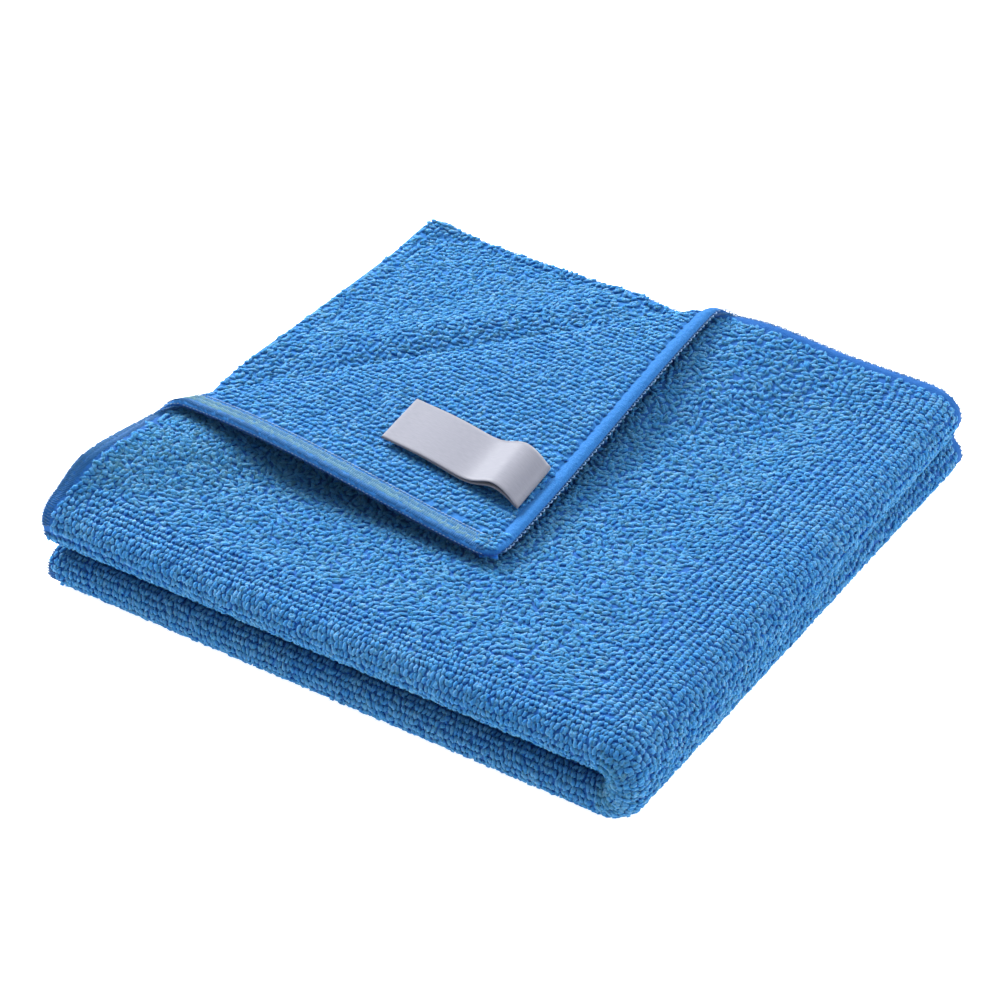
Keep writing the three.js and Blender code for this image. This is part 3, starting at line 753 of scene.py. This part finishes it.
def patch_rules(name):
    """For a patch: its lattice, which way its rows run, the points it keeps, their heading and disorder."""
    patch = PATCHES[name]
    whole = np.arange(-HALF_WIDTH, HALF_WIDTH, patch.across_pitch)
    upper = whole[whole < 0]
    lower = whole[whole > 0]
    outer = np.arange(0, HALF_LENGTH, patch.along_pitch)
    inner = np.arange(-HALF_LENGTH, 0, patch.along_pitch)
    halfway = -HALF_WIDTH / 2
    if name == "pile_first_fold":
        reach = ROW_ZONE_FIRST + WANDER_FIRST + 1
        rows = fold_rows(-UNDER_FIRST_FOLD, reach, patch.along_pitch, FIRST_STRETCH, FIRST_FOLD_ARC)
        beads = fold_rows(-HALF_WIDTH, HALF_WIDTH, patch.across_pitch, SECOND_STRETCH, SECOND_FOLD_ARC)
        return beads, rows, "across", lambda a, b: zone_of(a, b) == 0, constant(90), first_fold_disorder
    if name == "pile_second_fold":
        reach = ROW_ZONE_SECOND + WANDER_SECOND + 1
        columns = fold_rows(-reach, reach, patch.across_pitch, SECOND_STRETCH, SECOND_FOLD_ARC)
        return columns, outer, "along", lambda a, b: zone_of(a, b) == 1, constant(0), second_fold_disorder
    if name == "pile_underside":
        return lower, outer, "along", lambda a, b: zone_of(a, b) == 2, constant(45), free_disorder
    if name == "pile_turned_corner":
        def on_corner_or_roll(a, b):
            return FLAT_CREST.beyond(*flat_place(a, b)) > -ROLL_ARC - WEDGE_DEPTH
        return upper, outer, "along", on_corner_or_roll, constant(58), constant(0.45)
    if name == "pile_second_layer":
        def uncovered(a, b):
            return CREST.beyond(*flat_place(a, b)) > -WEDGE_DEPTH
        return upper, inner, "along", uncovered, constant(-50), constant(0.8)
    if name == "pile_under_corner":
        def near_mouth(a, b):
            x, y = flat_place(a, b)
            depth = np.minimum(x, FLAT_Y - y)
            return (FLAT_CREST.beyond(x, y) > -ROLL_ARC) & (depth < UNDER_CORNER_DEPTH)
        return upper, outer, "along", near_mouth, constant(45), constant(0.8)
    open_side = name == "pile_top_open_side"

    def top_half(a, b):
        half = (a < halfway) == open_side
        return half & top_layer(a, b) & (zone_of(a, b) == 2) & ~under_corner(a, b)
    return upper, outer, "along", top_half, constant(45), free_disorder


def build_pile(origin, tree, yarn):
    """One plain mesh of loops for each patch of the cloth's faces."""
    shapes = loop_shapes("loop", 3, 4)
    pieces = []
    for name, patch in PATCHES.items():
        across_lines, along_lines, rows, keep, heading, disorder = patch_rules(name)
        random = np.random.default_rng(patch.seed)
        across, along = lattice(across_lines, along_lines, rows, disorder, random)
        points = pile_points(name + "_points", across, along, keep, patch.side, heading, disorder, origin)
        pieces.append(grow(name, tree, points, {
            "Free loop length": patch.free_length * MM,
            "Row loop length": patch.row_length * MM,
            "Loop width": patch.width * MM,
            "Loop height": patch.height * MM,
            "Size spread": LOOP_SIZE_SPREAD,
            "Heading spread": HALF_TURN / 2,
            "Lean": LOOP_LEAN,
            "Seed": patch.seed,
            "Loop shapes": shapes,
            "Yarn": yarn,
        }))
    return pieces


# ---- The sewing of the hems ----
THREAD_SIDES = 3
THREAD_PITCH, THREAD_RADIUS = 0.52, 0.17
STITCH_HALF_LENGTH, STITCH_UNEVEN = 0.85, 0.22
CHAIN_RADIUS = 0.15
# Stitches stop short of the sheet's corners. They hardly differ in size, and turn a little in the row.
STITCHES_OFF_CORNER, STITCH_DISORDER = 2.8, 0.08
STITCH_SIZE_SPREAD, STITCH_HEADING_SPREAD, STITCH_LEAN = 0.06, 1.2, 0.04


def stitches(name, half_length, rise, radius):
    """Short threads, in real millimetres: X runs along the thread, which rises off the cloth by Z."""
    shapes = bpy.data.collections.new(name)
    for i in range(LOOP_SHAPES):
        slant = 0.07 * math.sin(2.1 * i)
        turns = np.linspace(-QUARTER_TURN, QUARTER_TURN, 5)
        spine = [(half_length * math.sin(t), slant * math.sin(t), rise * math.cos(t) - radius)
                 for t in turns]
        shapes.objects.link(tube_shape(f"{name}_{i}", spine, [radius] * len(spine), THREAD_SIDES,
                                       lambda p: 1.0))
    return shapes


class Seam(NamedTuple):
    """A row of stitches along both side hems or both end hems.

    It starts at first_run along the hem, inset from the rim, on the side of the outer or inner face, or
    off the rim where side is 0. Its stitches run into the cloth, or along the rim where it is chained.
    """
    on_sides: bool
    first_run: float
    side: int
    inset: float
    pitch: float
    chained: bool
    tone: float


SEAMS = {
    "hem_band_rim": Seam(True, 0.0, -1, 0.85, THREAD_PITCH, False, 0.1),
    "hem_band_middle": Seam(True, 0.0, -1, 2.0, THREAD_PITCH, False, 1.0),
    "hem_band_inner": Seam(True, 0.0, -1, 3.1, THREAD_PITCH, False, 0.8),
    "hem_outer_rim": Seam(True, -HALF_LENGTH, 1, 0.7, THREAD_PITCH, False, 0.12),
    "hem_outer_inner": Seam(True, 0.0, 1, 1.8, THREAD_PITCH, False, 0.05),
    "hem_end_outer": Seam(False, -HALF_WIDTH, 1, 0.75, THREAD_PITCH, False, 0.12),
    "chain_band_rim": Seam(True, 0.0, 0, 0.15, 1.05, True, 0.9),
    "chain_band_inner": Seam(True, 0.0, -1, 4.05, 1.0, True, 0.7),
    "chain_end_rim": Seam(False, -HALF_WIDTH, 0, 0.15, 1.45, True, 0.4),
}


def seam_points(name, seam, origin, seed):
    """Points along a seam, with the threads' way out of the cloth and their heading."""
    half_run, half_edge = (HALF_LENGTH, HALF_WIDTH) if seam.on_sides else (HALF_WIDTH, HALF_LENGTH)
    first_run = max(seam.first_run, -half_run + STITCHES_OFF_CORNER)
    random = np.random.default_rng(seed)
    parts = []
    for sign in (-1, 1):
        run = np.arange(first_run, half_run - STITCHES_OFF_CORNER, seam.pitch)
        uneven = 0.0 if seam.chained else random.uniform(-STITCH_UNEVEN, STITCH_UNEVEN, len(run))
        edge = sign * (half_edge - seam.inset + uneven) * np.ones(len(run))
        across, along = (edge, run) if seam.on_sides else (run, edge)
        place, normal, along_u, along_v = framed(folded, across, along)
        inward = -sign * (along_u if seam.on_sides else along_v)
        rim_run = np.cross(normal, inward)
        inward = np.cross(rim_run, normal)
        stand = seam.side * normal if seam.side else -inward
        height = half_ground(across, along)[:, None] if seam.side else 0.0
        parts.append((place + height * stand, stand, rim_run if seam.chained else inward,
                      seam.tone * random.uniform(0.5, 1.0, len(run))))
    place, stand, heading, tones = (np.concatenate(column) for column in zip(*parts))
    return points_object(name, place + origin, {
        "stand": stand,
        "row_heading": heading,
        "disorder": np.full(len(place), STITCH_DISORDER),
        "tone": tones,
    })


def build_hem(origin, tree, band_thread, chain_thread):
    """The overlock's threads in short rows over the hems, and its chains along the rims and the band."""
    cross = stitches("cross_stitch", STITCH_HALF_LENGTH, 0.2, THREAD_RADIUS)
    small = stitches("small_chain", 0.4, 0.35, CHAIN_RADIUS)
    wide = stitches("wide_chain", 0.68, 0.95, CHAIN_RADIUS)
    pieces = []
    for seed, (name, seam) in enumerate(SEAMS.items(), start=31):
        shapes = (small if seam.on_sides else wide) if seam.chained else cross
        pieces.append(grow(name, tree, seam_points(name + "_points", seam, origin, seed), {
            "Free loop length": MM,
            "Row loop length": MM,
            "Loop width": MM,
            "Loop height": MM,
            "Size spread": STITCH_SIZE_SPREAD,
            "Heading spread": STITCH_HEADING_SPREAD,
            "Lean": STITCH_LEAN,
            "Seed": seed,
            "Loop shapes": shapes,
            "Yarn": chain_thread if seam.chained else band_thread,
        }))
    return pieces


# ---- The label ----
LABEL_WIDTH, LABEL_LENGTH = 15.7, 36.3
LABEL_PLY = 0.18
LABEL_SEWN_END = (88.8, 62.0)
LABEL_HEADING, LABEL_END_HEADING = 177.0, 95.0
LABEL_LOW, LABEL_FOLD_RADIUS = 0.8, 0.24
# The lower ply has a share of the waves, the upper ply the rest too and a slight sag of its own.
LOWER_WAVE, UPPER_WAVE_MORE, UPPER_SAG, SAG_TURN = 0.8, 0.2, 0.25, 0.16
# Waves along the ribbon: height, middle and reach from the sewn end
LABEL_WAVES = ((-0.9, 0.0, 2.0), (2.4, 6.2, 4.8), (-0.4, 14.5, 5.0), (0.5, 27.0, 8.0))


def corner_face(x, y):
    """The height of the turned-back corner's face at a place of the pad."""
    share, reached, flat_x, _ = corner_over(x, y)
    return on_corner(flat_x, share, reached * CORNER_BEYOND)[..., 2] + HALF_SOLID


LABEL_STRAIGHT = LABEL_LENGTH - LABEL_FOLD_RADIUS
LABEL_TURN_ARC = HALF_TURN * LABEL_FOLD_RADIUS


def ribbon(run, side):
    """The ribbon's middle: out along the lower ply, round the free end and back along the upper ply."""
    turn = np.clip((run - LABEL_STRAIGHT) / LABEL_FOLD_RADIUS - QUARTER_TURN, -QUARTER_TURN, QUARTER_TURN)
    back = np.maximum(run - LABEL_STRAIGHT - LABEL_TURN_ARC, 0)
    out = np.minimum(run, LABEL_STRAIGHT) - back + LABEL_FOLD_RADIUS * np.cos(turn)
    heading, across = math.radians(LABEL_HEADING), math.radians(LABEL_END_HEADING)
    x = LABEL_SEWN_END[0] + out * math.cos(heading) - side * math.cos(across)
    y = LABEL_SEWN_END[1] + out * math.sin(heading) - side * math.sin(across)
    wave = sum(height * np.exp(-(((out - middle) / reach) ** 2)) for height, middle, reach in LABEL_WAVES)
    upper = (1 + np.sin(turn)) / 2
    sag = UPPER_SAG * np.sin(out * SAG_TURN) * upper
    z = (corner_face(x, y) + LABEL_LOW + LABEL_FOLD_RADIUS * (1 + np.sin(turn))
         + wave * (LOWER_WAVE + UPPER_WAVE_MORE * upper) + sag)
    return np.stack([x, y, z], -1)


def build_label(origin, satin):
    runs = np.array([0.0] + spaced(0, LABEL_STRAIGHT, 0.8)
                    + spaced(LABEL_STRAIGHT, LABEL_STRAIGHT + LABEL_TURN_ARC, 0.15)
                    + spaced(LABEL_STRAIGHT + LABEL_TURN_ARC, 2 * LABEL_STRAIGHT + LABEL_TURN_ARC, 0.8))
    half = LABEL_WIDTH / 2
    sides = np.array([-half] + spaced(-half, half, 0.9))
    label = closed_sheet("label_ribbon", ribbon, lambda u, v: np.full(u.shape, LABEL_PLY / 2),
                         runs, sides, origin)
    label.data.materials.append(satin)
    return label


# ---- Materials ----
def new_material(name):
    material = bpy.data.materials.new(name)
    material.use_nodes = True
    material.node_tree.nodes.clear()
    return material, material.node_tree


def finish_material(tree, surface):
    """Ends a material in one principled shader with the given surface values."""
    shader = add_node(tree, "ShaderNodeBsdfPrincipled", surface)
    add_node(tree, "ShaderNodeOutputMaterial", {"Surface": (shader, "BSDF")})


def attribute(tree, name):
    return add_node(tree, "ShaderNodeAttribute", attribute_name=name), "Fac"


def noise(tree, place, size, detail=2.0):
    """Noise whose features are about size millimetres apart."""
    inputs = {"Vector": place, "Scale": 1 / (size * MM), "Detail": detail}
    return add_node(tree, "ShaderNodeTexNoise", inputs), "Fac"


def mixed(tree, share, first, second):
    """A colour that goes from the first to the second as the share goes from 0 to 1."""
    inputs = {"Factor_Float": share, "A_Color": first, "B_Color": second}
    return add_node(tree, "ShaderNodeMix", inputs, data_type="RGBA"), "Result_Color"


def bumped(tree, height, strength, distance):
    """A normal roughened by height, with its distance in millimetres."""
    inputs = {"Height": height, "Strength": strength, "Distance": distance * MM}
    return add_node(tree, "ShaderNodeBump", inputs), "Normal"


def pile_material():
    """Split-fibre polyester yarn in loops: velvety, with painted shade colour: a fuller blue at the roots,
    where the shade between the loops falls, and greyer on the crowns.
    """
    material, tree = new_material("microfibre_loop_yarn")
    place = add_node(tree, "ShaderNodeTexCoord"), "Object"
    patches = noise(tree, place, 14)
    fibres = noise(tree, place, 0.28)
    # Painted shade colour: from crown to root the yarn turns a fuller blue, standing in for the shade
    # between the loops.
    depth = add_node(tree, "ShaderNodeMapRange", {
        "Value": attribute(tree, "crown"), "From Min": 0.1, "From Max": 0.75}), "Result"
    body = mixed(tree, depth, linear("#1470e6"), linear("#2d6ba2"))
    light = combined(tree, "MULTIPLY", attribute(tree, "yarn_shade"), patches)
    finish_material(tree, {
        "Base Color": mixed(tree, light, body, linear("#4d82a8")),
        "Roughness": 1.0, "Specular IOR Level": 0.03, "Diffuse Roughness": 1.0,
        "Subsurface Weight": 0.7, "Subsurface Scale": 1.2 * MM, "Subsurface Radius": (0.4, 0.7, 1.0),
        "Sheen Weight": 0.2, "Sheen Roughness": 0.45, "Sheen Tint": linear("#6fb4f5"),
        "Normal": bumped(tree, fibres, 0.45, 0.12)})
    return material


def ground_material():
    """The knitted ground and the flat fleece of the hem: the same dye, with painted shade darkening the
    outer face, where the ground lies in the shade between the loops.
    """
    material, tree = new_material("microfibre_knitted_ground")
    lengths = add_node(tree, "ShaderNodeUVMap", uv_map="cloth_length"), "UV"
    courses = add_node(tree, "ShaderNodeTexVoronoi", {
        "Vector": lengths, "Scale": 1 / (1.1 * MM)}), "Distance"
    fibres = noise(tree, lengths, 0.35)
    # Painted shade: the fleece is darker on the outer face, for the shade of the loops over it.
    fleece = mixed(tree, attribute(tree, "outer_face"), linear("#2f7ab8"), linear("#1c5a9a"))
    relief = combined(tree, "ADD", courses, fibres)
    finish_material(tree, {
        "Base Color": mixed(tree, fibres, linear("#144c96"), fleece),
        "Roughness": 0.9, "Specular IOR Level": 0.2,
        "Sheen Weight": 0.2, "Sheen Roughness": 0.5, "Sheen Tint": linear("#a8d4ff"),
        "Normal": bumped(tree, relief, 0.6, 0.3)})
    return material


def thread_material(name, dyed, pale):
    """Textured polyester overlock thread. Where its tone is high, a pale thread lies over the dyed one."""
    material, tree = new_material(name)
    place = add_node(tree, "ShaderNodeTexCoord"), "Object"
    uneven = add_node(tree, "ShaderNodeMapRange", {
        "Value": noise(tree, place, 0.7), "From Min": 0.3, "From Max": 0.7, "To Min": 0.7,
        "To Max": 1.0}), "Result"
    worn = combined(tree, "MULTIPLY", attribute(tree, "tone"), uneven)
    finish_material(tree, {
        "Base Color": mixed(tree, worn, linear(dyed), linear(pale)),
        "Roughness": 0.8, "Specular IOR Level": 0.2,
        "Sheen Weight": 0.2, "Sheen Roughness": 0.4})
    return material


def satin_material():
    """Woven polyester satin ribbon, calendered: a smooth cool grey that the lights lift to a pale one."""
    material, tree = new_material("label_polyester_satin")
    lengths = add_node(tree, "ShaderNodeUVMap", uv_map="cloth_length"), "UV"
    stretched = add_node(tree, "ShaderNodeMapping", {
        "Vector": lengths, "Scale": (0.12, 1.0, 1.0)}), "Vector"
    floats = noise(tree, stretched, 0.22, 1.0)
    finish_material(tree, {
        "Base Color": mixed(tree, floats, linear("#6d6f7c"), linear("#80828e")),
        "Roughness": 0.5, "Specular IOR Level": 0.3, "Sheen Weight": 0.3,
        "Normal": bumped(tree, floats, 0.25, 0.03)})
    return material


# ---- Stage, light and camera ----
CAMERA_AZIMUTH, CAMERA_ELEVATION = 32.78, 33.32
CAMERA_DISTANCE, CAMERA_LENS, CAMERA_SENSOR = 0.59284, 95.4, 36.0
PAD_TARGET = (71.93, 74.64, 8.0)


def direction(azimuth, elevation):
    a, e = math.radians(azimuth), math.radians(elevation)
    return Vector((math.sin(a) * math.cos(e), -math.cos(a) * math.cos(e), math.sin(e)))


def add_camera(origin):
    data = bpy.data.cameras.new("camera")
    data.lens, data.sensor_width = CAMERA_LENS, CAMERA_SENSOR
    camera = make_object("camera", data)
    back = direction(CAMERA_AZIMUTH, CAMERA_ELEVATION)
    camera.location = Vector((np.array(PAD_TARGET) + origin) * MM) + back * CAMERA_DISTANCE
    camera.rotation_mode = "QUATERNION"
    camera.rotation_quaternion = (-back).to_track_quat("-Z", "Y")
    bpy.context.scene.camera = camera


# Soft boxes: azimuth, elevation, distance and size in metres, power in watts
SOFT_BOXES = (
    ("key_light", 250.0, 40.0, 1.6, 0.75, 50.0),
    ("top_light", 190.0, 82.0, 1.6, 1.3, 17.0),
    ("right_fill", 105.0, 14.0, 1.5, 0.9, 12.0),
)
STUDIO_BRIGHTNESS, FLOOR_GLOW, FLOOR_HALF = 0.56, 0.9, 3.0


def add_lights():
    for name, azimuth, elevation, distance, size, power in SOFT_BOXES:
        data = bpy.data.lights.new(name, "AREA")
        data.shape, data.size, data.energy = "DISK", size, power
        lamp = make_object(name, data)
        toward = direction(azimuth, elevation)
        lamp.location = toward * distance
        lamp.rotation_mode = "QUATERNION"
        lamp.rotation_quaternion = toward.to_track_quat("Z", "Y")
    world = bpy.data.worlds.new("studio")
    world.use_nodes = True
    world.node_tree.nodes["Background"].inputs["Color"].default_value = (1, 1, 1, 1)
    world.node_tree.nodes["Background"].inputs["Strength"].default_value = STUDIO_BRIGHTNESS
    bpy.context.scene.world = world
    bpy.context.scene.view_settings.view_transform = "Standard"


def add_floor():
    """A matt white floor that gives off some light, so that it is as white as the studio round it."""
    half = FLOOR_HALF
    corners = [(-half, -half, 0), (half, -half, 0), (half, half, 0), (-half, half, 0)]
    mesh = bpy.data.meshes.new("floor")
    mesh.from_pydata(corners, [], [(0, 1, 2, 3)])
    floor = make_object("floor", mesh)
    material, tree = new_material("floor_matt_white")
    finish_material(tree, {
        "Base Color": linear("#e6e6e6"), "Roughness": 0.9, "Specular IOR Level": 0.1,
        "Emission Color": (1.0, 1.0, 1.0, 1.0), "Emission Strength": FLOOR_GLOW})
    floor.data.materials.append(material)


def frame_origin():
    """Where the pad frame's origin lies in the part's frame, from the box of the frame's cloth."""
    across, along = (a.ravel() for a in np.meshgrid(
        ground_lines(HALF_WIDTH, SECOND_FOLD_ARC), -ground_lines(HALF_LENGTH, FIRST_FOLD_ARC)))
    place, normal, _, _ = framed(folded, across, along)
    faces = np.concatenate([place + normal * HALF_SOLID, place - normal * HALF_SOLID])
    low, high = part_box("cloth")
    middle = (np.array(low) + np.array(high)) / 2 / MM
    origin = middle - (faces.min(0) + faces.max(0)) / 2
    origin[2] = low[2] / MM
    return origin


def main():
    origin = frame_origin()
    add_camera(origin)
    yarn = pile_material()
    band_thread = thread_material("overlock_polyester_thread", "#17548c", "#789f96")
    chain_thread = thread_material("overlock_chain_thread", "#235f9e", "#9dbac6")
    ground = build_ground(origin, ground_material())
    tree = pile_tree()
    pile = build_pile(origin, tree, yarn)
    hem = build_hem(origin, tree, band_thread, chain_thread)
    label = build_label(origin, satin_material())
    for piece in [ground, *pile, *hem]:
        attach(piece, "root")
    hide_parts("cloth")
    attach(label, "root")
    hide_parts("label")
    add_floor()
    add_lights()


main()
